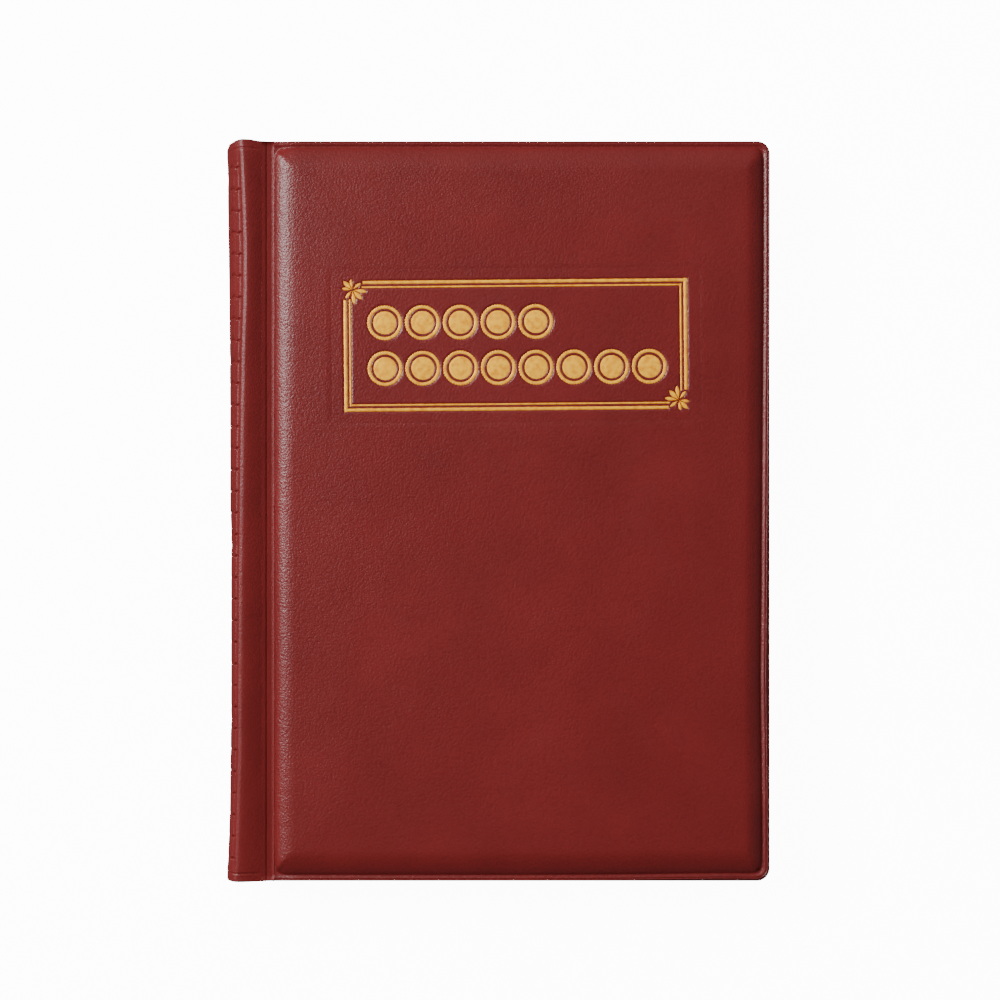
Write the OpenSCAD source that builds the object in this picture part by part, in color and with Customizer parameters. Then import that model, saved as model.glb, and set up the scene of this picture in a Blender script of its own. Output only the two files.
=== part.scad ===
// Pocket album for coins: padded covers, soft ribbed spine, ten film leaves.
// Millimetres. The closed album lies on its back cover: Z is its thickness, Y its height,
// and X runs from the spine (low) to the open edge (high).

/* [Album] */
// Height of the album, head to tail
album_h = 205; // [150:1:320]
// Width of the album, spine to open edge
album_w = 150.5; // [120:0.5:260]
// Thickness of the closed album
album_t = 20; // [16:0.5:40]
// Radius of the four outer corners
corner_r = 3.5; // [1:0.5:10]

/* [Covers] */
// Thickness of one padded cover
cover_t = 4.4; // [3:0.1:8]
// Thickness of the outer skin
skin_t = 0.5; // [0.3:0.1:1]
// Thickness of the inner lining
liner_t = 0.4; // [0.2:0.1:1]
// Thickness of the stiff board in a cover
board_t = 1.5; // [1:0.1:3]
// Width of the flat welded edge round a cover
weld_edge_w = 1.8; // [1:0.1:4]
// Width of the rounded shoulder where the padding falls away
shoulder_w = 4.2; // [1:0.1:8]
// Radius of the padded panel's corners
panel_r = 2.6; // [1:0.1:8]
// Setback of the board from the padding's edge
board_inset = 1.6; // [1:0.1:4]

/* [Spine and grooves] */
// Distance from the spine's outer face to a cover's hinge line
hinge_in = 12; // [8:0.5:20]
// Depth of a hinge line below the cover's outer face
hinge_down = 3.95; // [2:0.05:6]
// Width of the thin web on the spine's side of the hinge line
web_spine_w = 2.1; // [1:0.1:4]
// Width of the thin web on the cover's side of the hinge line
web_cover_w = 1.15; // [0.8:0.05:3]
// Depth of the line pressed along a web
web_groove = 0.3; // [0.1:0.1:0.6]
// How far the rounded back stands out behind its ridges
spine_bulge = 4.55; // [2:0.05:8]
// Drop of a spine ridge below the cover's outer face
ridge_drop = 1.3; // [0.5:0.1:4]
// Thickness of the spine's padding
spine_foam_t = 1.2; // [0.5:0.1:3]
// Thickness of the strip that the leaves are fixed to
strip_t = 1; // [0.6:0.1:2]

/* [Leaves] */
// Number of leaves
leaves = 10; // [2:2:10]
// Distance from one leaf to the next
leaf_pitch = 1.07; // [1:0.01:2]
// Thickness of the clear film
film_t = 0.2; // [0.1:0.05:0.4]
// Thickness of the stub strip, which is the gap left inside a pocket
stub_t = 0.35; // [0.2:0.05:0.6]
// Length of the stub from its fold to its far edge
stub_len = 9; // [6:0.5:15]
// How far the film laps onto the stub
stub_lap = 1; // [0.5:0.1:3]
// Step of each fold line away from the spine, towards the middle leaves
fold_step = 0.5; // [0.4:0.05:1]
// Gap from the open edge of the leaves to the open edge of the covers
leaf_inset_x = 3.75; // [2:0.25:10]
// Gap from the head of the leaves to the head of the covers
leaf_inset_y = 4.5; // [2:0.5:10]
// Pocket columns on a leaf
cols = 3; // [1:1:4]
// Pocket rows on a leaf
rows = 4; // [1:1:6]
// Width of one pocket
pocket_w = 39.5; // [20:0.5:60]
// Width of a weld line between pockets
weld_w = 1.2; // [0.6:0.1:3]
// Height of the slit at the mouth of a pocket
slit_h = 1; // [0.6:0.1:2]
// Radius of the thumb notch at the mouth of a pocket
notch_r = 6; // [3:0.5:10]

/* [Foil on the front cover] */
// Width of the foil frame
frame_w = 95; // [60:0.5:130]
// Height of the foil frame
frame_h = 36.2; // [20:0.2:80]
// Centre of the foil frame from the album's middle, across
frame_x = 4.9; // [-20:0.1:20]
// Centre of the foil frame from the album's middle, up
frame_y = 45.9; // [-60:0.1:60]
// Turn of the foil frame
frame_turn = 0.5; // [-1:0.1:1]
// Width of the frame's outer line
line_out = 1; // [0.4:0.1:2]
// Space between the frame's two lines
line_gap = 0.5; // [0.3:0.1:2]
// Width of the frame's inner line
line_in = 0.6; // [0.3:0.1:2]
// Thickness of the foil as modelled
foil_t = 0.05; // [0.05:0.01:0.2]
// Diameter of a foil disc
disc_d = 9.7; // [4:0.1:14]
// Distance from one foil disc to the next
disc_pitch = 10.4; // [9:0.1:16]
// Discs in the upper row
discs_top = 5; // [1:1:8]
// Discs in the lower row
discs_low = 8; // [1:1:8]
// Upper row's height above the frame's centre
row_top_y = 6.4; // [0:0.1:12]
// Lower row's height below the frame's centre
row_low_y = 6.2; // [0:0.1:12]
// Radius round the corner within which the lines give way to a sprig
sprig_len = 5.4; // [3:0.1:12]
// Inset of a sprig's centre from the frame's corner
sprig_in = 2.5; // [1.5:0.1:6]

/* [Hidden] */
fine = 32;
tiny = 0.01;
small_gap = 0.02;
x_spine = -album_w / 2;
x_fore = album_w / 2;
y_top = album_h / 2;
z_mid = album_t / 2;
hinge_x = x_spine + hinge_in;
hinge_z = album_t - hinge_down;
web_x0 = hinge_x - web_spine_w;
web_x1 = hinge_x + web_cover_w;
liner_z0 = album_t - cover_t;
liner_z1 = liner_z0 + liner_t;
weld_z1 = liner_z1 + skin_t;
web_gap = 0.1;

// Padded panel: a quarter ellipse from its foot at the lining to its flat top
dome_x0 = web_x1 + 0.3;
dome_x1 = x_fore - weld_edge_w;
dome_y = y_top - weld_edge_w;
dome_h = album_t - liner_z1;
inner_h = dome_h - skin_t;
dome_steps = [0, 22, 44, 66, 90];
foam_gap = 0.05;
foam_start = asin((board_t + 0.06) / (inner_h - foam_gap));
foam_steps = [foam_start, 40, 62, 90];

// Spine profile
ridge_x = x_spine + spine_bulge;
ridge_z = album_t - ridge_drop;
back_a = spine_bulge;
back_b = ridge_z - z_mid;
shoulder_z = weld_z1;
foam_in_x = web_x0 - 0.65;
arc_steps = [for (a = [90:10:270]) a];
spine_liner_t = 0.5;
foam_end_inset = 2;

// Leaves
fold_x0 = hinge_x + 1.35;
fold_clear = 0.25;
strip_clear = 0.4;
strip_end = 0.1;
half = leaves / 2;
leaf_x1 = x_fore - leaf_inset_x;
leaf_y = y_top - leaf_inset_y;
pockets_x0 = leaf_x1 - weld_w - cols * (pocket_w + weld_w) + weld_w;
pocket_h = (2 * leaf_y - (rows + 1) * weld_w) / rows;
film_r = 3;
stub_inset_y = 2;
foil_z = album_t;

// ---- shared shapes ----

// The back cover is the front cover turned over about the album's middle plane
module turned_over() {
    translate([0, 0, album_t]) mirror([0, 0, 1]) children();
}

// Flat plate in the XY plane with its two open-edge corners rounded
module edge_plate(x0, x1, y, z0, z1, r) {
    translate([0, 0, z0]) {
        translate([x0, -y, 0]) cube([x1 - r - x0, 2 * y, z1 - z0]);
        translate([x1 - r - tiny, -y + r, 0]) cube([r + tiny, 2 * (y - r), z1 - z0]);
        for (s = [-1, 1]) translate([x1 - r, s * (y - r), 0]) cylinder(h = z1 - z0, r = r, $fn = fine);
    }
}

// Four corner posts of one level of the padded panel
module dome_level(inset, z, r) {
    for (x = [dome_x0 + inset + r, dome_x1 - inset - r], y = [-dome_y + inset + r, dome_y - inset - r])
        translate([x, y, z]) cylinder(h = tiny, r = r, $fn = 24);
}

module dome(grow, height, steps) {
    hull() for (a = steps)
        dome_level(grow + shoulder_w * (1 - cos(a)), liner_z1 + height * sin(a) - (a > 1 ? tiny : 0), panel_r);
}

// ---- covers ----
module cover_skin() {
    difference() {
        union() {
            edge_plate(web_x1, x_fore, y_top, liner_z1, weld_z1, corner_r);
            dome(0, dome_h, dome_steps);
        }
        dome(skin_t, inner_h, dome_steps);
        translate([dome_x0 + skin_t + panel_r, -dome_y + skin_t + panel_r, liner_z0])
            cube([dome_x1 - dome_x0 - 2 * (skin_t + panel_r), 2 * (dome_y - skin_t - panel_r), liner_t + tiny]);
    }
}

module cover_foam() {
    dome(skin_t + foam_gap, inner_h - foam_gap, foam_steps);
}

module cover_board() {
    translate([dome_x0 + board_inset, -dome_y + board_inset, liner_z1])
        cube([dome_x1 - dome_x0 - 2 * board_inset, 2 * (dome_y - board_inset), board_t - small_gap]);
}

module cover_liner() {
    edge_plate(web_x1, x_fore, y_top, liner_z0, liner_z1, corner_r);
}

module front_skin() color([0.25, 0.03, 0.03]) cover_skin();
module front_foam() color([0.93, 0.92, 0.86]) cover_foam();
module front_board() color([0.55, 0.5, 0.42]) cover_board();
module front_liner() color([0.22, 0.03, 0.03]) cover_liner();
module back_skin() color([0.25, 0.03, 0.03]) turned_over() cover_skin();
module back_foam() color([0.93, 0.92, 0.86]) turned_over() cover_foam();
module back_board() color([0.55, 0.5, 0.42]) turned_over() cover_board();
module back_liner() color([0.22, 0.03, 0.03]) turned_over() cover_liner();

// ---- spine ----

// One line of the spine's section, from the front groove round the back to the back groove:
// start point (x, z), then an ellipse sunk by `sunk`, then the start point turned over
function spine_line(x, z, sunk) = concat(
    [[x, z]],
    [for (a = arc_steps) [ridge_x + (back_a - sunk) * cos(a), z_mid + (back_b - sunk) * sin(a)]],
    [[x, album_t - z]]
);
function backwards(p) = [for (i = [len(p) - 1:-1:0]) p[i]];
// Height of the straight shoulder line at x, from (x0, z0) up to the ridge sunk by `sunk`
function shoulder_at(x, x0, z0, sunk) = z0 + (x0 - x) / (x0 - ridge_x) * (ridge_z - sunk - z0);

module along_y(len) {
    rotate([90, 0, 0]) translate([0, 0, -len / 2]) linear_extrude(height = len) children();
}

// Footprint that rounds the head and tail corners of the spine
module spine_footprint(inset) {
    mirror([1, 0, 0]) edge_plate(-web_x0 - 1, -x_spine, y_top - inset, -1, album_t + 1, corner_r);
}

module spine_shell(outer, inner, inset) {
    intersection() {
        along_y(album_h + 2) polygon(concat(outer, backwards(inner)));
        spine_footprint(inset);
    }
}

module spine_skin() color([0.27, 0.04, 0.04])
    spine_shell(spine_line(web_x0, shoulder_z, 0), spine_line(web_x0, shoulder_z - skin_t, skin_t), 0);

skin_in_z = shoulder_at(foam_in_x, web_x0, shoulder_z - skin_t, skin_t);
liner_out_z = shoulder_at(foam_in_x, web_x0, shoulder_z - skin_t - small_gap, skin_t + spine_foam_t);

module spine_foam() color([0.93, 0.92, 0.86])
    spine_shell(
        spine_line(foam_in_x, skin_in_z - small_gap, skin_t + small_gap),
        spine_line(foam_in_x, liner_out_z + small_gap, skin_t + spine_foam_t - small_gap),
        foam_end_inset
    );

module spine_liner() color([0.22, 0.03, 0.03])
    spine_shell(
        spine_line(web_x0, shoulder_z - skin_t - small_gap, skin_t + spine_foam_t),
        spine_line(web_x0, liner_z0, skin_t + spine_foam_t + spine_liner_t),
        0
    );

// Distance of leaf i's fold from the spine, and its height
function order_in(i) = i <= half ? i - 1 : leaves - i;
function fold_x(i) = fold_x0 + fold_step * order_in(i);
function leaf_z(i) = z_mid + (i - (leaves + 1) / 2) * leaf_pitch;

strip_x0 = fold_x0 - strip_clear - strip_t;
strip_z = z_mid - cover_t - strip_end;
strip_face = [for (i = [1:leaves]) [fold_x(i) - strip_clear, leaf_z(i)]];

// Rounded bar across the inside of the spine, with a lip at each edge bonded to the lining
module binding_strip() color([0.22, 0.03, 0.03]) {
    along_y(2 * leaf_y) polygon(concat(
        [[strip_x0, z_mid - strip_z], [fold_x0 - strip_clear, z_mid - strip_z]],
        strip_face,
        [[fold_x0 - strip_clear, z_mid + strip_z], [strip_x0, z_mid + strip_z]]
    ));
    for (s = [-1, 1])
        translate([web_x0, -leaf_y, z_mid + s * (strip_z - liner_t / 2) - liner_t / 2])
            cube([strip_x0 - web_x0 + tiny, 2 * leaf_y, liner_t]);
}

// ---- hinge webs ----
module hinge_web() {
    along_y(album_h) polygon([
        [web_x0 + small_gap, liner_z0 + small_gap], [web_x1 - web_gap, liner_z0 + small_gap],
        [web_x1 - web_gap, weld_z1], [hinge_x + 0.45, weld_z1],
        [hinge_x + 0.15, weld_z1 - web_groove], [hinge_x - 0.75, weld_z1 - web_groove],
        [hinge_x - 1.05, weld_z1], [web_x0 + small_gap, weld_z1]
    ]);
}
module front_hinge_web() color([0.2, 0.03, 0.03]) hinge_web();
module back_hinge_web() color([0.2, 0.03, 0.03]) turned_over() hinge_web();

// ---- leaves ----
module stub(i) color([0.22, 0.03, 0.03])
    translate([fold_x(i) + fold_clear, -leaf_y + stub_inset_y, leaf_z(i) - stub_t / 2])
        cube([stub_len - fold_clear, 2 * (leaf_y - stub_inset_y), stub_t]);

module back_film(i) color([0.85, 0.88, 0.9, 0.4])
    edge_plate(fold_x(i) + stub_len - stub_lap, leaf_x1, leaf_y,
        leaf_z(i) - stub_t / 2 - film_t, leaf_z(i) - stub_t / 2, film_r);

// Front film with a slit and a thumb notch at every pocket, and the weld lines under it
module pockets(i) color([0.85, 0.88, 0.9, 0.4]) {
    difference() {
        edge_plate(fold_x(i) + stub_len - stub_lap, leaf_x1, leaf_y,
            leaf_z(i) + stub_t / 2, leaf_z(i) + stub_t / 2 + film_t, film_r);
        for (c = [0:cols - 1], r = [0:rows - 1])
            translate([pockets_x0 + c * (pocket_w + weld_w), -leaf_y + weld_w + r * (pocket_h + weld_w) + pocket_h, 0]) {
                translate([0, -slit_h, 0]) cube([pocket_w, slit_h, album_t]);
                translate([pocket_w / 2, -slit_h, 0])
                    linear_extrude(height = album_t)
                        polygon([for (a = [180:30:360]) [notch_r * cos(a), notch_r * sin(a) + (a == 180 || a == 360 ? tiny : 0)]]);
            }
    }
    weld_z = leaf_z(i) - stub_t / 2;
    first_x = fold_x(i) + stub_len;
    translate([first_x, -leaf_y + film_r, weld_z])
        cube([pockets_x0 - first_x, 2 * (leaf_y - film_r), stub_t + tiny]);
    for (c = [1:cols])
        translate([pockets_x0 + c * (pocket_w + weld_w) - weld_w, -leaf_y + film_r, weld_z])
            cube([weld_w, 2 * (leaf_y - film_r), stub_t + tiny]);
    for (r = [0:rows])
        translate([first_x, -leaf_y + r * (pocket_h + weld_w), weld_z])
            cube([leaf_x1 - film_r - first_x, weld_w, stub_t + tiny]);
}

// ---- foil ----
module on_front() {
    translate([frame_x, frame_y, foil_z]) rotate([0, 0, frame_turn]) children();
}

module ring_line(w, h, line) {
    difference() {
        translate([-w / 2, -h / 2, 0]) cube([w, h, foil_t]);
        translate([-w / 2 + line, -h / 2 + line, -1]) cube([w - 2 * line, h - 2 * line, foil_t + 2]);
    }
}

// The frame's lines stop short of the two corners that carry a sprig
module foil_frame() color([0.85, 0.6, 0.15]) on_front() {
    difference() {
        union() {
            ring_line(frame_w, frame_h, line_out);
            ring_line(frame_w - 2 * (line_out + line_gap), frame_h - 2 * (line_out + line_gap), line_in);
        }
        for (s = [-1, 1])
            translate([s * -frame_w / 2, s * frame_h / 2, -1]) cylinder(h = foil_t + 2, r = sprig_len, $fn = fine);
    }
}

// One leaflet: the overlap of two discs
module leaflet(len, fat) {
    radius = (len * len / 4 + fat * fat / 4) / fat;
    translate([len / 2, 0, 0]) intersection() {
        translate([0, radius - fat / 2, 0]) cylinder(h = foil_t, r = radius, $fn = 96);
        translate([0, -radius + fat / 2, 0]) cylinder(h = foil_t, r = radius, $fn = 96);
    }
}

// Each leaflet: turn, start and length from the sprig's centre, and width
sprig_leaflets = [
    [135, 0.5, 3.1, 1.0], [105, 0.5, 2.6, 0.9], [165, 0.5, 2.6, 0.9],
    [-45, 0.5, 3.4, 1.1], [-12, 0.6, 3.6, 1.0], [-78, 0.6, 3.6, 1.0],
    [38, 0.6, 2.5, 0.8], [-128, 0.6, 2.5, 0.8]
];
module sprig() {
    for (k = sprig_leaflets)
        rotate([0, 0, k[0]]) translate([k[1], 0, 0]) leaflet(k[2], k[3]);
    cylinder(h = foil_t, r = 0.45, $fn = 24);
}

module foil_sprigs() color([0.85, 0.6, 0.15]) on_front()
    for (s = [0, 1]) rotate([0, 0, 180 * s])
        translate([-frame_w / 2 + sprig_in, frame_h / 2 - sprig_in, 0]) sprig();

module disc() {
    difference() {
        cylinder(h = foil_t, d = disc_d, $fn = 64);
        translate([0, 0, -1]) cylinder(h = foil_t + 2, d = disc_d - 2, $fn = 64);
    }
    cylinder(h = foil_t, d = disc_d - 3.2, $fn = 48);
}

module foil_discs() color([0.85, 0.6, 0.15]) on_front() {
    disc_x0 = -frame_w / 2 + 6.5 + disc_d / 2;
    for (k = [0:discs_top - 1]) translate([disc_x0 + k * disc_pitch, row_top_y, 0]) disc();
    for (k = [0:discs_low - 1]) translate([disc_x0 + k * disc_pitch, -row_low_y, 0]) disc();
}

front_skin();
front_foam();
front_board();
front_liner();
back_skin();
back_foam();
back_board();
back_liner();
spine_skin();
spine_foam();
spine_liner();
binding_strip();
front_hinge_web();
back_hinge_web();
foil_frame();
foil_sprigs();
foil_discs();
for (i = [1:leaves]) {
    leaf = str("leaf_", i < 10 ? "0" : "", i);
    stub(i);
    back_film(i);
    pockets(i);
}
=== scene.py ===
from math import radians

import bpy
import numpy as np
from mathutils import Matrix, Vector


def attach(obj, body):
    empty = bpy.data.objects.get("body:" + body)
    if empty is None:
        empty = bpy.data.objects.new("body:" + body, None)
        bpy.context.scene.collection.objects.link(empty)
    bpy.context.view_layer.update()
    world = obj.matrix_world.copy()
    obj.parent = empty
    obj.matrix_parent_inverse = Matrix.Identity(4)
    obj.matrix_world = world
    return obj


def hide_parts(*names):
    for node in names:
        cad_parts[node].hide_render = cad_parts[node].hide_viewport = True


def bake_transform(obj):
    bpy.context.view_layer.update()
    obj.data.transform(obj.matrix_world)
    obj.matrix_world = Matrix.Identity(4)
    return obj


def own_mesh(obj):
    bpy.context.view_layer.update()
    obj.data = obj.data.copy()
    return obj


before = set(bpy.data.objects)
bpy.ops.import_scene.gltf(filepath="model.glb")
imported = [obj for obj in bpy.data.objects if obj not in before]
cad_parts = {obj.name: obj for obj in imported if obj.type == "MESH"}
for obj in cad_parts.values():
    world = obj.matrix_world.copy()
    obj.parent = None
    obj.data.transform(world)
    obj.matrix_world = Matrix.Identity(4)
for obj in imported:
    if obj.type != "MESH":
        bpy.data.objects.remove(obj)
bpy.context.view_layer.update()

# ---- Camera ----
# It looks straight down on the front cover from a little over half a metre, and is square to
# the album's edges.
camera_height = 0.580
eye = bpy.data.cameras.new("eye")
eye.sensor_width = 36.0
eye.lens = 36.0 * (camera_height - 0.020) / 0.2753
eye.clip_start, eye.clip_end = 0.01, 20.0
camera = bpy.data.objects.new("camera", eye)
bpy.context.collection.objects.link(camera)
camera.location = (0.0005, 0.0031, camera_height)
bpy.context.scene.camera = camera

# ---- Front cover skin ----
# Vinyl leatherette drawn over foam and board. It is welded to the lining in a flat rim
# on three sides and beside the spine, so the panel stands up between the welds like a pillow.
cover_x0, cover_x1, cover_y = -62.1, 75.25, 102.5
panel_x0, panel_x1, panel_y = -61.95, 73.3, 100.7
shoulder_left, shoulder_right, shoulder_tail, shoulder_head = 5.8, 5.3, 7.4, 7.0
rim_z, cover_top, skin_t, album_t = 16.5, 20.0, 0.5, 20.0
title_x, title_y, title_turn = 4.8, 45.8, radians(0.5)
mm = 1000  # millimetres to the metre
patch_w, patch_h, patch_drop = 101.5, 42.4, 0.35
corner_r, rim_w = 3.5, 2.9
front_seed, back_seed = 11, 57


def ripples(x, y, size, seed, lean=None):
    """Sum of twelve plane waves about `size` mm long, in directions and phases drawn from
    a seeded generator, between about -1 and 1. `lean` keeps the directions near that angle."""
    draw = np.random.default_rng(seed)
    total = np.zeros(np.broadcast(x, y).shape)
    for _ in range(12):
        way = draw.uniform(0, np.pi) if lean is None else draw.normal(lean, 0.22)
        turn = 2 * np.pi / (size * draw.uniform(0.7, 1.6))
        total = total + np.sin(turn * (x * np.cos(way) + y * np.sin(way)) + draw.uniform(0, 2 * np.pi))
    return total / 5.0


def ease(t):
    """0 below 0, 1 above 1, and 3t squared less 2t cubed between."""
    t = np.clip(t, 0, 1)
    return t * t * (3 - 2 * t)


def title_place(x, y):
    """Album x, y turned into the title's own across and up, from its centre."""
    a, b = x - title_x, y - title_y
    c, s = np.cos(title_turn), np.sin(title_turn)
    return a * c + b * s, b * c - a * s


def shoulder(s, wall, early):
    """Share of the panel's height left at s down its shoulder, summed from the tangent of a tilt that
    grows from 2 degrees at the top by `early` degrees at once and to 40 near the foot, then steeply
    by `wall` more degrees, and falls to none at s = 1.04."""
    line = np.linspace(0, 1.04, 500)
    tilt = 2 + early * ease(line / 0.42) + (38 - early) * np.clip((line - 0.40) / 0.50, 0, 1)
    tilt = tilt + wall * ease((line - 0.90) / 0.06)
    fall = np.cumsum(np.tan(np.radians(tilt * ease((1.04 - line) / 0.08))))
    return np.interp(s, line, 1 - fall / fall[-1])


def cover_height(x, y, seed, sunk=True):
    """Height of a cover's skin. s is how far a point has gone down the shoulder: the fifth root of
    the sum of the fifth powers of its shares across and along, so corners are tight. The panel's
    height is its rise times the share left at s. The rim past it lifts to a lip with a sealing
    crease. `sunk` lowers the ground under the title, which has its own finer surface."""
    left = shoulder_left + 1.6 * ease((y - 5) / 60)
    across = np.maximum(np.maximum(1 - (x - panel_x0) / left, 1 - (panel_x1 - x) / shoulder_right), 0)
    along = np.maximum(1 - (y + panel_y) / shoulder_tail, 1 - (panel_y - y) / shoulder_head)
    along = np.maximum(along, 0)
    s = (across ** 5 + along ** 5) ** 0.2
    inside = np.clip(1 - s, 0, 1)
    past_spine, by_tail = ease((x + 61.5) / 6), ease((-y - 78) / 14)
    foot = rim_z - 0.1 + 0.85 * past_spine - 0.4 * by_tail * past_spine
    by_spine = ease((1 - (x - panel_x0) / left - along) * 3 + 0.5)
    dome = (cover_top - foot) * (shoulder(s, 32, 8) * by_spine + shoulder(s, 6, 13) * (1 - by_spine))
    from_side = np.minimum(np.minimum(x - panel_x0, panel_x1 - x), np.minimum(y + panel_y, panel_y - y))
    crown = 0.28 * (1 - ease(from_side / 22))
    z = foot + dome - crown * ease(inside * 2)
    swell = 0.045 * ripples(x, y, 46, seed) + 0.02 * ripples(x, y, 17, seed + 1) - 0.05
    z = z + ease(inside * 1.5) * swell
    slack = ease(across * 2.2) * ease((1.02 - s) * 5)
    z = z + slack * 0.022 * ripples(x, y, 3.2, seed + 2, lean=1.05)
    outside = ease((s - 1) * 6)
    z = z + outside * (0.08 + 0.025 * ripples(x, y, 9, seed + 3))
    u, v = x - cover_x1 + corner_r, np.abs(y) - cover_y + corner_r
    edge = corner_r - np.where((u > 0) & (v > 0), np.hypot(u, v), np.maximum(u, v))
    lip = (0.31 - 0.09 * ease((-y - 90) / 8)) * ease((1.95 - edge) / 1.15)
    crease = 0.24 * np.exp(-(((edge - 0.62) / 0.16) ** 2))
    z = z + lip - crease - 1.2 * (1 - ease(edge / 0.4))
    if sunk:
        a, b = title_place(x, y)
        sink = patch_drop * ease((patch_w / 2 - np.abs(a)) / 1.6)
        z = z - sink * ease((patch_h / 2 - np.abs(b)) / 1.6)
    return z


def stretch(parts):
    """Positions along a line: each part is (from, to, steps), joined end to end."""
    return np.unique(np.concatenate([np.linspace(a, b, n + 1) for a, b, n in parts]).round(5))


def round_corners(x, y, r):
    """Pulls the square open-edge corners of a sheet onto circles: inside the last r by r square,
    across becomes across times root(1 - up^2 / 2), and up becomes up times root(1 - across^2 / 2)."""
    u = np.clip((x - (cover_x1 - r)) / r, 0, 1)
    v = np.clip((np.abs(y) - (cover_y - r)) / r, 0, 1)
    both = (u > 0) & (v > 0)
    x = np.where(both, cover_x1 - r + r * u * np.sqrt(1 - v * v / 2), x)
    y = np.where(both, np.sign(y) * (cover_y - r + r * v * np.sqrt(1 - u * u / 2)), y)
    return x, y


def slacken(x, y):
    """Lets the welded edges wander: the open edge comes in by up to 0.8 mm below the middle, and
    the tail edge by 0.5 mm at its open end, each dying out into the panel."""
    places, amounts = [-102, -90, -70, -46, -25, -10, 20, 60], [0.3, 0.3, 0.5, 0.8, 0.6, 0.5, 0.3, 0]
    come_in = np.interp(y, places, amounts)
    come_up = np.interp(x, [10, 30, 62, 76], [0, 0.1, 0.5, 0.4])
    return x - come_in * ease((x - 50) / 24), y + come_up * ease((-y - 80) / 22)


def sheet_mesh(name, points, material, body=None, wall=0.0, uv=None, ring=False, caps=False):
    """A mesh from an (n, m, 3) array of points in mm, one quad between each four neighbours.
    ring joins the last row to the first; caps closes both ends of a ring; wall gives it thickness."""
    n, m = points.shape[:2]
    i = np.arange(n if ring else n - 1)[:, None]
    j = np.arange(m - 1)[None, :]
    k = (i + 1) % n
    quads = np.stack([i * m + j, k * m + j, k * m + j + 1, i * m + j + 1], -1).reshape(-1, 4)
    loops, sizes = quads.ravel(), np.full(len(quads), 4)
    if caps:
        low, high = np.arange(n)[::-1] * m, np.arange(n) * m + m - 1
        loops, sizes = np.concatenate([loops, low[::-1], high[::-1]]), np.append(sizes, [n, n])
    mesh = bpy.data.meshes.new(name)
    mesh.vertices.add(n * m)
    mesh.vertices.foreach_set("co", (points.reshape(-1, 3) / mm).astype(np.float32).ravel())
    mesh.loops.add(len(loops))
    mesh.loops.foreach_set("vertex_index", loops.astype(np.int32))
    mesh.polygons.add(len(sizes))
    starts = np.concatenate([[0], np.cumsum(sizes)[:-1]])
    mesh.polygons.foreach_set("loop_start", starts.astype(np.int32))
    mesh.polygons.foreach_set("use_smooth", np.ones(len(sizes), bool))
    if uv is not None:
        layer = mesh.uv_layers.new(name="sheet")
        layer.data.foreach_set("uv", (uv.reshape(-1, 2)[loops] / mm).astype(np.float32).ravel())
    mesh.update()
    mesh.validate()
    piece = bpy.data.objects.new(name, mesh)
    bpy.context.collection.objects.link(piece)
    mesh.materials.append(material)
    if wall:
        shell = piece.modifiers.new("wall", "SOLIDIFY")
        shell.thickness, shell.offset, shell.use_even_offset = wall / mm, -1.0, False
    if body:
        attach(piece, body)
    return piece


specular = "Specular IOR Level"


def blank_material(name, coords="Object", per_metre=(mm, mm, mm)):
    """A new material: itself, its node tree, its surface node, its coordinates node, and the named
    coordinates scaled so that one unit is a millimetre."""
    material = bpy.data.materials.new(name)
    material.use_nodes = True
    tree = material.node_tree
    place, scaled = add(tree, "TexCoord"), add(tree, "Mapping", Scale=per_metre)
    join_up(tree, (place.outputs[coords], scaled.inputs["Vector"]))
    return material, tree, tree.nodes["Principled BSDF"], place, scaled.outputs[0]


def add(tree, kind, **values):
    """A new shader node of this kind with some of its inputs set by name."""
    node = tree.nodes.new("ShaderNode" + kind)
    for name, value in values.items():
        node.inputs[name].default_value = value
    return node


def join_up(tree, *pairs):
    """Links each pair of sockets, from the first to the second."""
    for source, target in pairs:
        tree.links.new(source, target)


def maths(tree, operation, *terms):
    """The result of a maths node, each of whose terms is a number or another node's output."""
    node = add(tree, "Math")
    node.operation = operation
    for k, term in enumerate(terms):
        if isinstance(term, (int, float)):
            node.inputs[k].default_value = term
        else:
            tree.links.new(term, node.inputs[k])
    return node.outputs[0]


def two_tones(tree, share, low, high, ends=(0.0, 1.0)):
    """The colour between low and high that a share picks, flat outside the two ends."""
    ramp = add(tree, "ValToRGB")
    for stop, end, colour in zip(ramp.color_ramp.elements, ends, (low, high)):
        stop.position, stop.color = end, (*colour, 1)
    join_up(tree, (share, ramp.inputs["Fac"]))
    return ramp.outputs["Color"]


def bumped(tree, height, strength, distance):
    """The normal bent by a height."""
    bump = add(tree, "Bump", Strength=strength, Distance=distance)
    join_up(tree, (height, bump.inputs["Height"]))
    return bump.outputs["Normal"]


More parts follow.
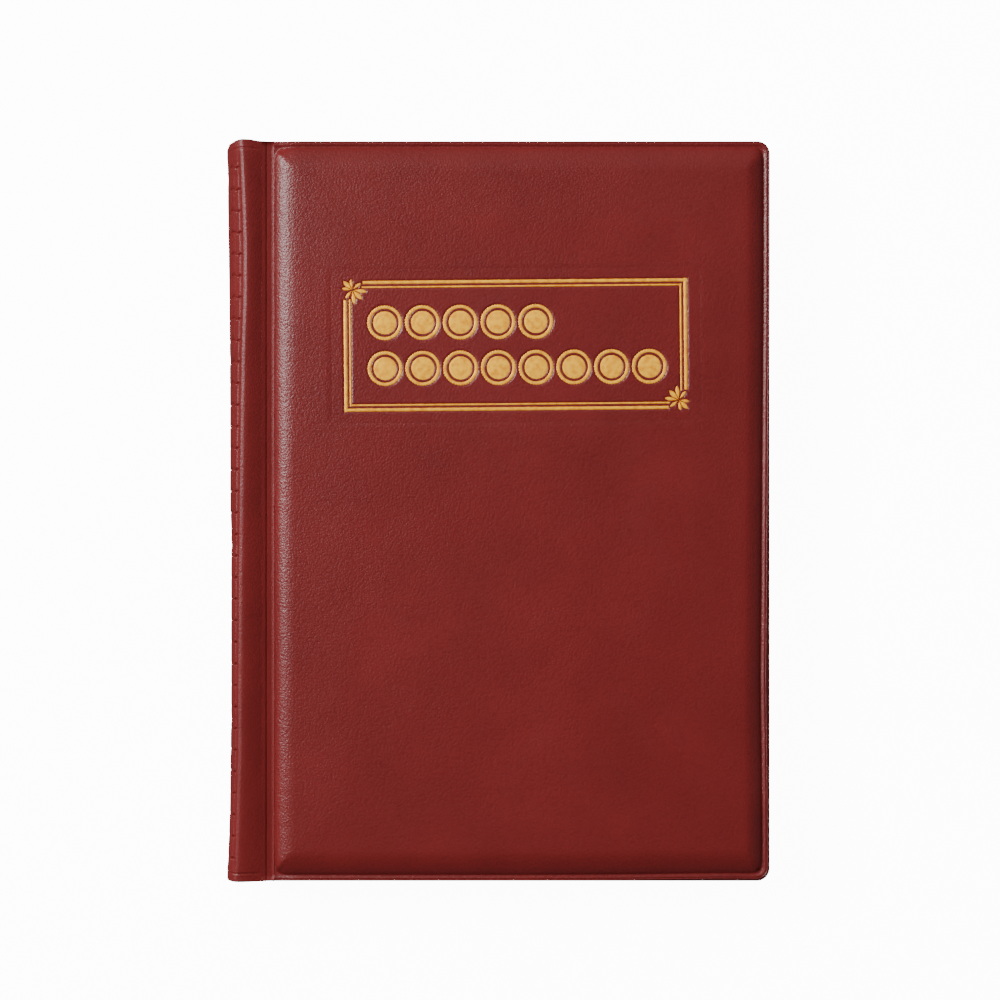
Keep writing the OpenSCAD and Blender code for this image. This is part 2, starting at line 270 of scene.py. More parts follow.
def leatherette(name, coords="Object", relief=0.42, rough=0.36, shine=0.38):
    """Embossed vinyl: rounded cells from smooth Voronoi distance, fine pores from noise, a slow drift of
    colour, and painted shade that makes the creases between the cells a little darker."""
    grain = 0.7  # size of a cell
    material, tree, skin, _, scaled = blank_material(name, coords)
    warp = add(tree, "TexNoise", Scale=0.9, Detail=2)
    shift = add(tree, "VectorMath")
    shift.operation = "MULTIPLY_ADD"
    shift.inputs[1].default_value = (0.55, 0.55, 0.55)
    cells = add(tree, "TexVoronoi")
    cells.feature = "SMOOTH_F1"
    cells.inputs["Scale"].default_value = 1.25 / grain
    cells.inputs["Smoothness"].default_value = 0.35
    pores = add(tree, "TexNoise", Scale=3.2 / grain, Detail=4)
    drift = add(tree, "TexNoise", Scale=0.045, Detail=3)
    join_up(tree, (scaled, warp.inputs["Vector"]), (warp.outputs["Color"], shift.inputs[0]),
            (scaled, shift.inputs[2]), (shift.outputs[0], cells.inputs["Vector"]),
            (scaled, pores.inputs["Vector"]), (scaled, drift.inputs["Vector"]))
    cell, pore = cells.outputs["Distance"], pores.outputs["Fac"]
    height = maths(tree, "MULTIPLY_ADD", cell, -0.8, maths(tree, "MULTIPLY", pore, 0.35))
    spread = maths(tree, "MULTIPLY_ADD", drift.outputs["Fac"], 0.5, 0.45)
    # painted shade: the cells' creases, low in the bump, are pulled toward deep maroon; the drift is the
    # vinyl's own uneven tone
    share = maths(tree, "MULTIPLY_ADD", cell, -0.28, spread)
    join_up(tree, (two_tones(tree, share, deep_maroon, maroon, (0.3, 0.75)), skin.inputs["Base Color"]),
            (maths(tree, "MULTIPLY_ADD", pore, 0.16, rough - 0.06), skin.inputs["Roughness"]),
            (bumped(tree, height, relief, 0.00024), skin.inputs["Normal"]))
    skin.inputs[specular].default_value = shine
    return material


# deep_maroon is both the darker end of the vinyl's drifting tone and the painted shade in the creases of
# its grain
maroon, deep_maroon = (0.142, 0.0098, 0.0096), (0.100, 0.0060, 0.0060)
cover_leather = leatherette("cover_leatherette")

lines_x = stretch([(cover_x0, cover_x0 + 1.2, 10), (cover_x0 + 1.2, cover_x0 + 6, 16),
                   (cover_x0 + 6, cover_x1 - 7, 76), (cover_x1 - 7, cover_x1 - rim_w, 12),
                   (cover_x1 - rim_w, cover_x1, 26)])
lines_y = stretch([(-cover_y, -cover_y + rim_w, 26), (-cover_y + rim_w, -cover_y + 9, 14),
                   (-cover_y + 9, cover_y - 9, 170), (cover_y - 9, cover_y - rim_w, 14),
                   (cover_y - rim_w, cover_y, 26)])
X, Y = round_corners(*np.meshgrid(lines_x, lines_y, indexing="ij"), corner_r)
front_points = np.stack([*slacken(X, Y), cover_height(X, Y, front_seed)], -1)
front_skin = sheet_mesh("front_cover_skin", front_points, cover_leather, "front_cover", wall=skin_t)
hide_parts("front_skin")

# ---- Foil title on the front cover ----
# Gold foil pressed into the skin with a hot brass die: a frame of two lines, a sprig in two of its
# corners and two rows of plain reeded discs. The die leaves each mark a little below the skin.
frame_w, frame_h = 94.7, 36.1
line_out, line_gap, line_in = 1.0, 0.5, 0.6
disc_r, disc_pitch = 4.85, 10.4
press, foil_sink = 0.22, 0.01
reeds = 40
first_disc = -frame_w / 2 + 6.5 + disc_r
discs = np.array([(first_disc + disc_pitch * k, up)
                  for count, up in ((5, 6.4), (8, -6.2)) for k in range(count)])
sprig_reach, sprig_in = 5.4, 2.5
leaflets = [(135, 0.1, 3.3, 1.3), (98, 0.2, 2.7, 1.0), (172, 0.2, 2.7, 1.0), (-45, 0.1, 3.6, 1.4),
            (-8, 0.3, 3.7, 1.2), (-82, 0.3, 3.7, 1.2), (38, 0.3, 2.7, 1.0), (-128, 0.3, 2.7, 1.0)]


def mark_distance(a, b):
    """Distance outside the nearest foil mark, below 0 on the foil: for a line, how far a point is
    from it less half its width; for a disc its ring and middle; for a leaflet two overlapping discs."""
    near_corner = np.minimum(np.hypot(a + frame_w / 2, b - frame_h / 2),
                             np.hypot(a - frame_w / 2, b + frame_h / 2))
    d = np.full(a.shape, 9.0)
    for inset, width in ((0, line_out), (line_out + line_gap, line_in)):
        box = np.maximum(np.abs(a) - frame_w / 2 + inset, np.abs(b) - frame_h / 2 + inset)
        d = np.minimum(d, np.maximum(np.abs(box + width / 2) - width / 2, sprig_reach - near_corner))
    for ca, cb in discs:
        far = np.hypot(a - ca, b - cb)
        d = np.minimum(d, np.minimum(np.abs(far - disc_r + 0.5) - 0.5, far - disc_r + 1.6))
    for side in (1, -1):
        u, v = side * a + frame_w / 2 - sprig_in, side * b - frame_h / 2 + sprig_in
        for turn, start, length, fat in leaflets:
            c, s = np.cos(radians(turn)), np.sin(radians(turn))
            p, q = u * c + v * s - start - length / 2, v * c - u * s
            r = (length ** 2 / 4 + fat ** 2 / 4) / fat
            d = np.minimum(d, np.maximum(np.hypot(p, q - r + fat / 2), np.hypot(p, q + r - fat / 2)) - r)
    return d


def title_height(a, b):
    """The front cover's height at a point of the title, less the press mark: full depth on the foil,
    easing out over a third of a millimetre round it."""
    x = title_x + a * np.cos(title_turn) - b * np.sin(title_turn)
    y = title_y + a * np.sin(title_turn) + b * np.cos(title_turn)
    hold = ease((patch_w / 2 - np.abs(a)) / 0.5) * ease((patch_h / 2 - np.abs(b)) / 0.5)
    return x, y, cover_height(x, y, front_seed, sunk=False) + 0.012 * hold - 0.01


A, B = np.meshgrid(np.linspace(-patch_w / 2, patch_w / 2, 372),
                   np.linspace(-patch_h / 2, patch_h / 2, 160), indexing="ij")
TX, TY, TZ = title_height(A, B)
TZ = TZ - press * (1 - ease((mark_distance(A, B) + 0.02) / 0.34))
title_ground = sheet_mesh("front_cover_title_ground", np.stack([TX, TY, TZ], -1), cover_leather,
                          "front_cover")


def gold_foil():
    """Stamped foil: warm yellow metal, fine grain from the leather under it, darker and browner places
    where it took the die less well, and painted shade in orange where its surface tilts down at its
    edges."""
    material, tree, foil, place, scaled = blank_material("stamped_gold_foil")
    patches, grain = add(tree, "TexNoise", Scale=0.7, Detail=5), add(tree, "TexVoronoi", Scale=2.4)
    # edge paints shade: the further the foil's normal tilts away from straight up, the more orange is
    # mixed in
    facing, edge = add(tree, "SeparateXYZ"), add(tree, "MixRGB", Color1=(0.50, 0.11, 0.003, 1))
    tilt_shade = add(tree, "MapRange")
    tilt_shade.inputs["From Min"].default_value, tilt_shade.inputs["From Max"].default_value = 0.80, 0.99
    tone = two_tones(tree, patches.outputs["Fac"], (0.80, 0.30, 0.010), (1.0, 0.50, 0.022), (0.32, 0.58))
    join_up(tree, (scaled, patches.inputs["Vector"]), (scaled, grain.inputs["Vector"]),
            (place.outputs["Normal"], facing.inputs[0]), (facing.outputs["Z"], tilt_shade.inputs["Value"]),
            (tilt_shade.outputs[0], edge.inputs["Fac"]), (tone, edge.inputs["Color2"]),
            (edge.outputs["Color"], foil.inputs["Base Color"]),
            (bumped(tree, grain.outputs["Distance"], 0.35, 0.00008), foil.inputs["Normal"]))
    foil.inputs["Metallic"].default_value = 0.28
    foil.inputs[specular].default_value = 0.2
    foil.inputs["Roughness"].default_value = 0.42
    return material


foil = gold_foil()


def join(name, sheets, material, body):
    """Several point grids made into one piece, one after another."""
    made = [sheet_mesh(f"{name}_{k}", p, material, ring=ring) for k, (p, ring) in enumerate(sheets)]
    bpy.ops.object.select_all(action="DESELECT")
    for o in made:
        o.select_set(True)
    bpy.context.view_layer.objects.active = made[0]
    bpy.ops.object.join()
    piece = bpy.context.view_layer.objects.active
    piece.name = piece.data.name = name
    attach(piece, body)
    return piece


def ribbon(path, width, seed):
    """A foil line: five points across, arched by the root of 1 - t^2, carried along the path, its
    width wandering by a few hundredths of a millimetre."""
    path = np.array(path, float)
    legs = [np.linspace(p, q, max(2, int(np.hypot(*(q - p)) / 0.5)), endpoint=False)
            for p, q in zip(path[:-1], path[1:])]
    line = np.concatenate(legs + [path[-1:]])
    way = np.gradient(line, axis=0)
    way = way / np.linalg.norm(way, axis=1)[:, None]
    side = np.stack([-way[:, 1], way[:, 0]], 1)
    half = width / 2 * (1 + 0.07 * ripples(line[:, 0] + line[:, 1], 0 * line[:, 0], 2.2, seed))
    t = np.array([1, 0.8, 0, -0.8, -1.0])[:, None]
    a = line[None, :, 0] + side[None, :, 0] * half[None] * t
    b = line[None, :, 1] + side[None, :, 1] * half[None] * t
    x, y, z = title_height(a, b)
    return np.stack([x, y, z - press - foil_sink + 0.15 * np.sqrt(1 - t * t)], -1)[::-1]


frame_lines = []
both_lines = ((line_out / 2, line_out), (line_out + line_gap + line_in / 2, line_in))
for k, (inset, width) in enumerate(both_lines):
    w, h, gap = frame_w / 2 - inset, frame_h / 2 - inset, np.sqrt(sprig_reach ** 2 - inset ** 2) - inset
    for side in (1, -1):
        legs = [((-w + gap) * side, h * side), (w * side, h * side), (w * side, (-h + gap) * side)]
        for n, (p, q) in enumerate(zip(legs[:-1], legs[1:])):
            d = np.array(q, float) - p
            d = d / np.hypot(*d) * width / 2
            ends = [p, np.array(q) + d] if n == 0 else [p - d, q]
            frame_lines.append((ribbon(ends, width, 31 + 4 * k + 2 * n + side), False))
foil_frame = join("foil_frame_lines", frame_lines, foil, "front_cover")
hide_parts("foil_frame")


def leaflet(side, turn, start, length, fat):
    """A leaflet of a sprig: half width is half of fat times sin(pi s^1.5)^0.7 along it, and it is
    arched across."""
    s, t = np.meshgrid(np.linspace(0.02, 0.98, 24), np.linspace(-1, 1, 9), indexing="ij")
    p = start + s * length
    q = t * fat / 2 * np.sin(np.pi * s ** 1.5) ** 0.7
    c, d = np.cos(radians(turn)), np.sin(radians(turn))
    a = side * (-frame_w / 2 + sprig_in + p * c - q * d)
    b = side * (frame_h / 2 - sprig_in + p * d + q * c)
    x, y, z = title_height(a, b)
    return np.stack([x, y, z - press - foil_sink + 0.17 * np.sqrt(1 - t * t)], -1)


sprigs = [(leaflet(side, *shape), False) for side in (1, -1) for shape in leaflets]
foil_sprigs = join("foil_sprig_leaflets", sprigs, foil, "front_cover")
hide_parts("foil_sprigs")


def disc_bands(ca, cb):
    """A reeded disc: a flat ring whose outer edge waves forty times round, and a low domed middle."""
    turn = np.linspace(0, 2 * np.pi, 161)[:-1]
    found = []
    ring, middle = np.linspace(disc_r - 1.0, disc_r, 8), np.linspace(0.02, disc_r - 1.6, 12)
    for radii, lift in ((ring, 0.13), (middle, 0.16)):
        r, th = np.meshgrid(radii, turn, indexing="ij")
        share = (r - radii[0]) / (radii[-1] - radii[0])
        if radii[0] > 1:
            wave = np.cos(reeds * th)
            r = r + 0.10 * share * wave * (share > 0.5)
            z = lift * np.sqrt(np.clip(1 - (2 * share - 1) ** 2, 0, 1))
            z = z + 0.03 * wave * (share > 0.35) * (share < 0.95)
        else:
            z = lift * np.sqrt(np.clip(1 - share ** 2, 0, 1))
            z = z - 0.05 * np.exp(-((share - 0.62) / 0.07) ** 2)
        x, y, base = title_height(ca + r * np.cos(th), cb + r * np.sin(th))
        found.append((np.stack([x, y, base - press - foil_sink + z], -1).transpose(1, 0, 2)[::-1], True))
    return found


all_bands = [band for centre in discs for band in disc_bands(*centre)]
foil_discs = join("foil_title_discs", all_bands, foil, "front_cover")
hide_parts("foil_discs")

# ---- Back cover skin ----
# The same welded panel as the front but plain: leatherette over foam and board. It is turned over,
# so its flat top is what the album lies on.
back_z = album_t - np.minimum(cover_height(X, Y, back_seed, sunk=False), album_t - 0.01)
back_points = np.stack([*slacken(X, Y), back_z], -1)[::-1]
back_skin = sheet_mesh("back_cover_skin", back_points, cover_leather, "back_cover", wall=skin_t)
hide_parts("back_skin")

# ---- Spine skin ----
# The same sheet carried round the back over a thin pad. A die has pressed rows of small cells into its
# rounded back, with a plain dip at every fifty millimetres; its head and tail are welded flat.
spine_y = 102.5
spine_edge_x, spine_edge_z = -65.30, 16.75
ridge_along = np.array([-102.5, -94, -66, -52, -14, 10, 42, 60, 72, 84, 96, 102.5])
ridge_across = np.array([-71.5, -71.5, -70.7, -70.7, -70.5, -70.2,
                         -69.9, -69.4, -69.3, -69.6, -70.2, -70.6])
back_along = np.array([-102.5, -95.5, -82, -55, -5, 1, 29, 50, 85, 102.5])
back_across = np.array([-75.9, -75.7, -75.2, -74.9, -74.9, -75.2, -75.3, -75.5, -76.0, -76.1])
knots = np.array([92.5, 42, -9.5, -58])
cell_pitch, first_cell = 5.97, 95.34
columns = np.array([1.5, 4.0, 7.3, 10.7, 14.1, 17.4, 19.9])
press_girth = 21.4  # from ridge to ridge round the back, as the pressing die was laid out
s_shares = np.array([0, 0.005, 0.05, 0.15, 0.28, 0.42, 0.56, 0.70, 0.85])
s_points = len(s_shares)


def spine_section(y, steps=40, sunk=0.0):
    """The spine's section at each y: a shallow S from the groove up to the ridge, then a
    superellipse round the back, of power 2.2 at the tail and 1.55 at the head where the ridge is
    sharper, then the S turned over. Gives x, z and arc length."""
    rx = np.interp(y, ridge_along, ridge_across)[None]
    bx = np.interp(y, back_along, back_across)[None]
    lift = 1.7 + 0.12 * np.sin(y / 31.0)[None]
    rz = album_t - lift
    t = s_shares[:, None]
    sx = spine_edge_x + (rx - spine_edge_x) * t
    sz = spine_edge_z + (rz - spine_edge_z) * (t * 0.3 + 0.7 * np.sin(t * np.pi / 2))
    ang = np.linspace(0, np.pi, 2 * steps + 1)[:, None]
    power = np.interp(y, [-20, 20, 60], [2.2, 1.95, 1.55])[None]
    ex = rx - (rx - bx - sunk) * np.abs(np.sin(ang)) ** (2 / power)
    ez = 10.0 + (rz - 10.0 - sunk) * np.sign(np.cos(ang)) * np.abs(np.cos(ang)) ** (2 / power)
    x = np.concatenate([sx, ex, sx[::-1]])
    z = np.concatenate([sz - sunk, ez, album_t - sz[::-1] + sunk])
    step = np.hypot(np.diff(x, axis=0), np.diff(z, axis=0))
    arc = np.concatenate([np.zeros((1, len(y))), np.cumsum(step, axis=0)])
    return x, z, arc, arc[s_points:s_points + 1]


def spine_press(arc, y):
    """Depth of the pressed pattern, arc measured from the ridge: a sharp short rung at each row,
    stepped a little down from one column to the next, a shallow line between columns, a step
    down beside the ridge, and a soft dip across the cells at each knot."""
    col = np.abs(arc[..., None] - columns).min(-1)
    late = 0.45 * (np.searchsorted(columns, arc) % 2) + 0.22 * np.sin(arc * 1.9)
    row = (first_cell - y - late) % cell_pitch
    row = np.minimum(row, cell_pitch - row)
    knot = np.abs(y[..., None] - knots).min(-1) + 0.4 * np.abs(np.sin(arc * 0.85))
    field = ease((arc - columns[0] + 0.1) / 0.35) * ease((columns[-1] + 0.1 - arc) / 0.35)
    field = field * ease((97.0 - y) / 0.5) * ease((y + 97.5) / 0.5)
    deep = 0.52 + 0.13 * ease((10 - y) / 40)
    rung = deep * np.exp(-((row / 0.25) ** 2)) * ease((col - 0.05) / 0.3)
    line = 0.10 * np.exp(-((col / 0.28) ** 2)) + 0.06 + 0.06 * np.cos(2 * np.pi * arc / 1.12)
    dip = 0.16 * ease((2.2 - knot) / 1.4)
    step = 0.22 * ease((arc - 1.0) / 0.8) * ease((press_girth - 1.0 - arc) / 0.8)
    return field * (np.maximum(rung, line) + dip) + step


by_rung = np.array([-3.9, -2.9, -1.9, -1.15, -0.95, -0.75, -0.55, -0.35, -0.15, 0.05, 0.25, 0.5, 1.2])
rungs = (first_cell - cell_pitch * np.arange(33))[:, None] + by_rung
tail_rows, head_rows = np.linspace(-spine_y, -97.6, 25), np.linspace(96.8, spine_y, 28)
sy = np.unique(np.concatenate([rungs.ravel(), tail_rows, head_rows]).round(3))
x, z, arc, ridge_arc = spine_section(sy)
Y2 = np.broadcast_to(sy, x.shape).copy()
nx, nz = np.gradient(z, axis=0), -np.gradient(x, axis=0)
norm = np.hypot(nx, nz)
nx, nz = nx / norm, nz / norm
ends = ease((np.abs(Y2) - 97.5) / 3.5)
far_ridge = len(x) - 1 - s_points
cut = spine_press((arc - ridge_arc) * press_girth / (arc[far_ridge] - ridge_arc), Y2) * (1 - ends)
past_weld = np.abs(Y2) - 100.2
welded = 0.24 * np.exp(-((past_weld / 0.24) ** 2)) + 0.12 * ease(past_weld / 0.8)
cut = cut + welded * ease((arc - 0.2) / 1.5) * ease((arc.max(0) - arc - 0.2) / 1.5)
for inward in (arc - ridge_arc + 0.2, arc.max(0) - ridge_arc + 0.2 - arc):
    inward = inward + 0.05 * ripples(Y2, 0 * Y2, 12, 73)
    cut = cut - 0.08 * np.exp(-((inward / np.where(inward > 0, 0.8, 1.5)) ** 2)) * (1 - ends)
cut = cut - 0.02 * ripples(arc, Y2, 9, 71) - 0.008 * ripples(arc, Y2, 3.1, 72)
x, z = x - nx * cut, z - nz * cut
drop = 3.2 * (1 - np.sqrt(1 - np.clip((-70.4 - x) / 5.8, 0, 1) ** 2))
Y2 = Y2 - np.sign(Y2) * drop * np.where(Y2 > 0, 1, 0.1) * np.clip((np.abs(Y2) - 94) / 8.5, 0, 1) ** 2
Y2 = Y2 + 0.35 * ease((Y2 - 90) / 12) * ease((-66 - x) / 3)
spine_leather = leatherette("spine_leatherette", coords="UV", relief=0.34, rough=0.42, shine=0.30)
spine_skin = sheet_mesh("spine_skin_embossed", np.stack([x, Y2, z], -1)[::-1], spine_leather, "spine",
                        wall=skin_t, uv=np.stack([arc, Y2], -1)[::-1])
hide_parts("spine_skin")
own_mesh(spine_skin)

# ---- Hinge webs ----
# Between spine and cover the skin and lining are welded flat with no pad, and the die leaves a
# channel with a fine bead beside it. In the album this strip is what bends when a cover opens; here it
# is built flat and not made to bend.
web_x = np.array([-65.50, -65.20, -64.9, -64.6, -64.4, -64.28, -64.18, -64.0,
                  -63.6, -63.1, -62.84, -62.61, -62.52, -62.45, -62.25, -62.05])
web_top = np.array([16.84, 16.74, 16.65, 16.56, 16.47, 16.34, 16.25, 16.22,
                    16.17, 16.10, 16.06, 16.08, 16.17, 16.41, 16.46, 16.50])
web_bottom, web_across, web_along = 15.62, 60, 120
web_leather = leatherette("web_leatherette", coords="UV", relief=0.25, rough=0.42, shine=0.3)
for name, turned, bodies in (("front", False, ("spine", "front_cover")),
                             ("back", True, ("back_cover", "spine"))):
    wy = np.linspace(-spine_y, spine_y, web_along)
    inner_x = np.linspace(web_x[0] + 0.02, web_x[-1] - 0.02, web_across - 2)
    fine_x = np.concatenate([web_x[:1], inner_x, web_x[-1:]])
    top = np.interp(fine_x, web_x, web_top)
    top[1:-1] = (top[:-2] + 2 * top[1:-1] + top[2:]) / 4
    loop_x, loop_z = np.append(fine_x, fine_x[::-1]), np.append(top, np.full(web_across, web_bottom))
    px = np.broadcast_to(loop_x[:, None], (2 * web_across, web_along))
    swell = 0.03 * ripples(px, wy[None], 14, 91 if turned else 90)
    pz = loop_z[:, None] + swell * (loop_z[:, None] > web_bottom + 0.08)
    pts = np.stack([px, np.broadcast_to(wy, px.shape), album_t - pz if turned else pz], -1)
    girth = np.cumsum(np.append(0, np.hypot(np.diff(loop_x), np.diff(loop_z))))
    uvs = np.stack([np.broadcast_to(girth[:, None] + 30, px.shape), pts[..., 1]], -1)
    if turned:
        pts, uvs = pts[::-1], uvs[::-1]
    web = sheet_mesh(f"{name}_hinge_web_strip", pts, web_leather, uv=uvs, ring=True, caps=True)
    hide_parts(f"{name}_hinge_web")
    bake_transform(web)

# ---- Foam pads ----
# Soft foam sheets cut to the panels and laid loose between board and skin. The skin's pull,
# when its rim is welded, rounds their edges.
def foam_stuff():
    """Pale open foam: small cells from Voronoi distance over a creamy body, darker in their pits as
    painted shade.
    """
    material, tree, body, _, scaled = blank_material("padding_foam")
    cells = add(tree, "TexVoronoi", Scale=1.8)
    far = cells.outputs["Distance"]
    # painted shade: the cells' pits, low in the bump, take the darker tone
    join_up(tree, (scaled, cells.inputs["Vector"]),
            (two_tones(tree, far, (0.62, 0.58, 0.46), (0.86, 0.83, 0.74)), body.inputs["Base Color"]),
            (bumped(tree, far, 0.6, 0.0003), body.inputs["Normal"]))
    body.inputs["Roughness"].default_value = 0.95
    return material


foam = foam_stuff()
foam_x0, foam_x1, foam_y, foam_z, foam_across = -60.3, 71.9, 99.1, 17.53, 70
for name, turned, seed in (("front", False, front_seed), ("back", True, back_seed)):
    across = np.linspace(foam_x0, foam_x1, foam_across)
    round_it, along = np.concatenate([across, across[::-1]]), np.linspace(-foam_y, foam_y, 90)
    u, v = np.meshgrid(round_it, along, indexing="ij")
    tops = cover_height(u, v, seed) - skin_t - 0.12
    over = (np.arange(2 * foam_across) < foam_across)[:, None]
    edge = np.minimum(np.minimum(u - foam_x0, foam_x1 - u), foam_y - np.abs(v))
    z = np.where(over & (edge > 0), np.maximum(tops, foam_z + 0.03), foam_z)
    pts = np.stack([u, v, album_t - z if turned else z], -1)
    if turned:
        pts = pts[::-1]
    pad = sheet_mesh(f"{name}_foam_pad", pts, foam, f"{name}_cover", ring=True)
    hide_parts(f"{name}_foam")

# The spine's own pad, between its skin and its lining.
fy = np.linspace(-100.4, 100.4, 90)
ox, oz, _, _ = spine_section(fy, steps=20, sunk=1.2)
ix, iz, _, _ = spine_section(fy, steps=20, sunk=1.75)
keep = slice(3, -3)
fx, fz = np.concatenate([ox[keep], ix[keep][::-1]]), np.concatenate([oz[keep], iz[keep][::-1]])
pad_points = np.stack([fx, np.broadcast_to(fy, fx.shape), fz], -1)[::-1]
spine_pad = sheet_mesh("spine_foam_pad", pad_points, foam, "spine", ring=True, caps=True)
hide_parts("spine_foam")
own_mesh(spine_pad)

# ---- Linings, binding strip and stubs ----
# Smooth vinyl sheet in the same red, welded to the skin at the rims; the strip and the stubs that
# hold the leaves are cut from it.
def lining_vinyl():
    """Smooth vinyl sheet: faint orange peel and a slow drift of tone and gloss."""
    material, tree, body, _, scaled = blank_material("lining_vinyl")
    peel, drift = add(tree, "TexNoise", Scale=1.6, Detail=3), add(tree, "TexNoise", Scale=0.06, Detail=2)
    gloss = add(tree, "MapRange")
    gloss.inputs["To Min"].default_value, gloss.inputs["To Max"].default_value = 0.32, 0.5
    low, high = (0.135, 0.014, 0.013), (0.175, 0.019, 0.018)
    tone = two_tones(tree, drift.outputs["Fac"], low, high, (0.3, 0.7))
    join_up(tree, (scaled, peel.inputs["Vector"]), (scaled, drift.inputs["Vector"]),
            (drift.outputs["Fac"], gloss.inputs["Value"]), (tone, body.inputs["Base Color"]),
            (gloss.outputs[0], body.inputs["Roughness"]),
            (bumped(tree, peel.outputs["Fac"], 0.25, 0.0001), body.inputs["Normal"]))
    return material


def dress(node, material):
    """Gives a CAD node this material in place of its packed one."""
    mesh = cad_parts[node].data
    mesh.materials.clear()
    mesh.materials.append(material)


vinyl = lining_vinyl()
leaf_count = 10
stubs = [f"leaf_{i:02d}_stub" for i in range(1, leaf_count + 1)]
for node in ["front_liner", "back_liner", "binding_strip"] + stubs:
    dress(node, vinyl)

# The spine's lining follows the pad.
# At the head and the tail it comes out to meet the skin, where the two are welded flat.
by_weld = np.array([100.4, 100.7, 101, 101.3, 101.6, 102])
ly = np.unique(np.concatenate([np.linspace(-102.4, 102.4, 60), -by_weld, by_weld]))
ox, oz, _, _ = spine_section(ly, steps=20, sunk=1.8 - 1.15 * ease((np.abs(ly) - 100.4) / 1.2))
highest = 16.02 + np.clip(spine_edge_x - ox, 0, 9) * 0.35
oz = np.where(oz > album_t / 2, np.minimum(oz, highest), np.maximum(oz, album_t - highest))
lining_points = np.stack([ox, np.broadcast_to(ly, ox.shape), oz], -1)[::-1]
spine_lining = sheet_mesh("spine_lining_sheet", lining_points, vinyl, "spine", wall=0.4)
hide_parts("spine_liner")
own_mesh(spine_lining)

# ---- Cover boards ----
# Grey-brown pulp board that stiffens each cover, guillotined to the size of the panel. It lies
# between lining and foam and the welds close it in on every side.
def pulp_board():
    """Recycled board: long pale and dark fibres from stretched noise over a grey-brown body."""
    material, tree, body, _, scaled = blank_material("pulp_board", per_metre=(300, 1400, 1400))
    fibre = add(tree, "TexNoise", Scale=1.5, Detail=5)
    tone = two_tones(tree, fibre.outputs["Fac"], (0.24, 0.20, 0.15), (0.48, 0.42, 0.33))
    join_up(tree, (scaled, fibre.inputs["Vector"]), (tone, body.inputs["Base Color"]),
            (bumped(tree, fibre.outputs["Fac"], 0.3, 0.0001), body.inputs["Normal"]))
    body.inputs["Roughness"].default_value = 0.9
    return material


board = pulp_board()
for node in ("front_board", "back_board"):
    dress(node, board)

# ---- Leaf films ----
# Clear soft vinyl, two films to a leaf, fused along a grid of hatched weld lines into twelve pockets.
# A slit and a thumb notch open each pocket in the front film.
leaf_left, leaf_tail, pocket_step_x, pocket_step_y, weld_w = -51.8, -98.0, 40.7, 48.7, 1.2
hatch_turn = 9.0  # radians to a millimetre


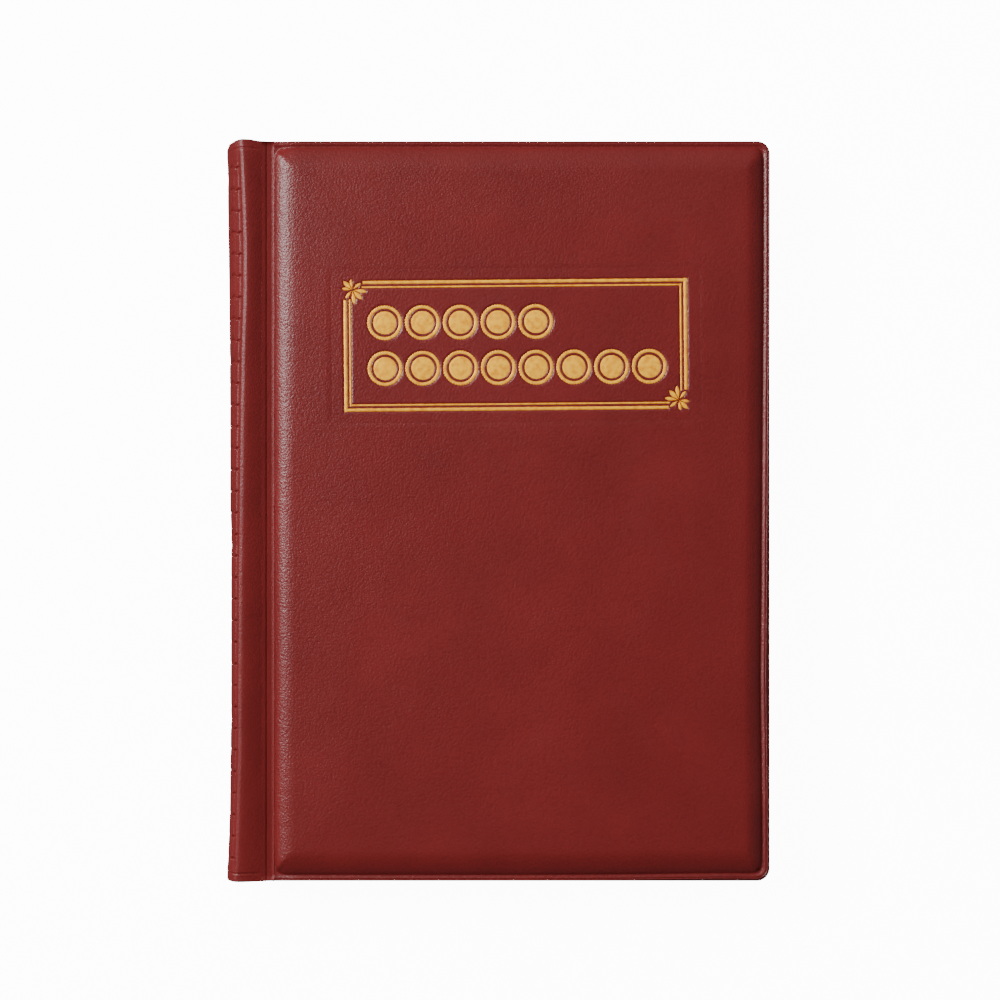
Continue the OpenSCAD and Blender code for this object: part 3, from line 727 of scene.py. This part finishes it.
def clear_vinyl():
    """Clear vinyl with a cool cast and soft waves; along the weld lines, found from the remainder of
    x and y over the pocket steps, the film turns milky and carries a fine diamond hatch."""
    material, tree, film, _, scaled = blank_material("clear_vinyl_film")
    parts = add(tree, "SeparateXYZ")
    wave = add(tree, "TexNoise", Scale=0.11, Detail=3)
    join_up(tree, (scaled, parts.inputs[0]), (scaled, wave.inputs["Vector"]))
    x, y = parts.outputs[0], parts.outputs[1]

    def on_line(along, start, step):
        past = maths(tree, "FLOORED_MODULO", maths(tree, "SUBTRACT", along, start), step)
        return maths(tree, "LESS_THAN", past, weld_w)

    def diagonal(operation):
        return maths(tree, "SINE", maths(tree, "MULTIPLY", maths(tree, operation, x, y), hatch_turn))

    weld = maths(tree, "MAXIMUM", on_line(x, leaf_left, pocket_step_x),
                 on_line(y, leaf_tail, pocket_step_y))
    hatch = maths(tree, "MULTIPLY", maths(tree, "MULTIPLY", diagonal("ADD"), diagonal("SUBTRACT")), weld)
    relief = maths(tree, "ADD", maths(tree, "MULTIPLY", wave.outputs["Fac"], 6.0),
                   maths(tree, "MULTIPLY", hatch, 0.4))
    join_up(tree, (bumped(tree, relief, 0.5, 0.0003), film.inputs["Normal"]),
            (maths(tree, "ADD", maths(tree, "MULTIPLY", weld, 0.3), 0.14), film.inputs["Alpha"]),
            (maths(tree, "ADD", maths(tree, "MULTIPLY", weld, 0.25), 0.14), film.inputs["Roughness"]))
    film.inputs["Base Color"].default_value = (0.78, 0.84, 0.87, 1)
    film.inputs["IOR"].default_value = 1.53
    return material


clear = clear_vinyl()
for i in range(1, leaf_count + 1):
    for part in ("back_film", "pockets"):
        dress(f"leaf_{i:02d}_{part}", clear)

# ---- Floor and light ----
# A plain pale table, a soft light from the left, wide weak ones from the head and the open side,
# and a weak even light from all round.
def pale_table():
    """Plain off-white that gives off its own light, so that the ground is an even white."""
    material = bpy.data.materials.new("pale_table")
    material.use_nodes = True
    body = material.node_tree.nodes["Principled BSDF"]
    for name, value in (("Base Color", (0.93, 0.93, 0.93, 1)), ("Roughness", 0.9), (specular, 0.1),
                        ("Emission Color", (1, 1, 1, 1)), ("Emission Strength", 12.0)):
        body.inputs[name].default_value = value
    return material


floor_mesh = bpy.data.meshes.new("table_top")
floor_half, floor_z = 3, -0.0002
corners = ((-1, -1), (1, -1), (1, 1), (-1, 1))
floor_corners = [(a * floor_half, b * floor_half, floor_z) for a, b in corners]
floor_mesh.from_pydata(floor_corners, [], [(0, 1, 2, 3)])
floor_mesh.materials.append(pale_table())
floor = bpy.data.objects.new("table_top", floor_mesh)
bpy.context.collection.objects.link(floor)
floor.visible_diffuse = floor.visible_glossy = False


def soft_light(name, place, size, watts):
    """A square area light at place, turned to face the album."""
    lamp = bpy.data.lights.new(name, "AREA")
    lamp.shape, lamp.size, lamp.energy = "SQUARE", size, watts
    o = bpy.data.objects.new(name, lamp)
    bpy.context.collection.objects.link(o)
    o.location = place
    o.rotation_euler = (-Vector(place)).to_track_quat("-Z", "Y").to_euler()
    return o


soft_light("window_left", (-1.25, 0.56, 1.10), 0.62, 54)
for fill in (soft_light("head_fill", (-0.2, 2.1, 1.6), 2.2, 42),
             soft_light("open_side_fill", (2.2, 0.3, 0.9), 2.4, 12)):
    fill.visible_glossy = False
world = bpy.data.worlds.new("studio")
bpy.context.scene.world = world
world.use_nodes = True
world.node_tree.nodes["Background"].inputs["Color"].default_value = (1, 1, 1, 1)
world.node_tree.nodes["Background"].inputs["Strength"].default_value = 0.19
